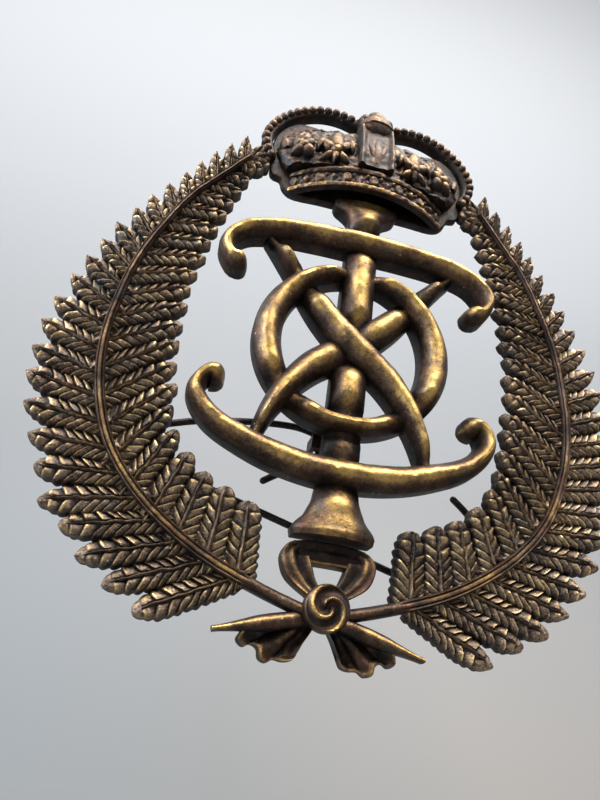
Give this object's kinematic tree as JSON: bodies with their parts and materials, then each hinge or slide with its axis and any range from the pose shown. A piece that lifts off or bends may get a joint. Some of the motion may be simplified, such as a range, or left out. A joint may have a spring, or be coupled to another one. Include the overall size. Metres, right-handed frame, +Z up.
{
  "type": "cap badge",
  "caption": "Openwork metal cap badge: a crown over a tied wreath of fern fronds round an interlaced strap ornament, with a hinged wire keeper behind.",
  "frame": {"origin": "centre of the badge in the flat plane of its back, where it lies against the cap", "axes": "+X to the right as the badge is seen, +Y out of its back into the cap, +Z up towards the crown"},
  "size_m": [0.0854, 0.0121, 0.092],
  "materials": {
    "dark_bronze": "dark brown patina, worn brighter on the raised edges",
    "worn_brass": "satin, rubbed golden on top, dark in the hollows",
    "dark_wire": "blackened drawn wire"
  },
  "bodies": {
    "badge": {"left_frond": "dark_bronze", "right_frond": "dark_bronze", "left_stem": "dark_bronze", "right_stem": "dark_bronze", "ribbon_loop": "dark_bronze", "ribbon_tail_left": "dark_bronze", "ribbon_tail_right": "dark_bronze", "crown_back_plate": "dark_bronze", "crown_cap": "dark_bronze", "crown_arch_left": "dark_bronze", "crown_arch_right": "dark_bronze", "rim_leaf_left": "dark_bronze", "rim_leaf_right": "dark_bronze", "rim_quatrefoil_left": "dark_bronze", "rim_quatrefoil_right": "dark_bronze", "keeper_lug": "dark_bronze", "staff_fork": "dark_bronze", "frond_fork": "dark_bronze", "bow_knot": "worn_brass", "staff": "worn_brass", "ring": "worn_brass", "blade_rising": "worn_brass", "blade_falling": "worn_brass", "upper_scroll": "worn_brass", "lower_scroll": "worn_brass", "crown_band": "worn_brass", "crown_centre_rib": "worn_brass", "crown_finial": "worn_brass"},
    "keeper": {"keeper_wire": "dark_wire"}
  },
  "joints": [
    {"name": "keeper_hinge", "type": "hinge", "parent": "badge", "child": "keeper", "pos_m": [-0.0276, 0.0027, -0.0198], "axis": [0, 0, 1], "range_deg": [0, 110]}
  ]
}
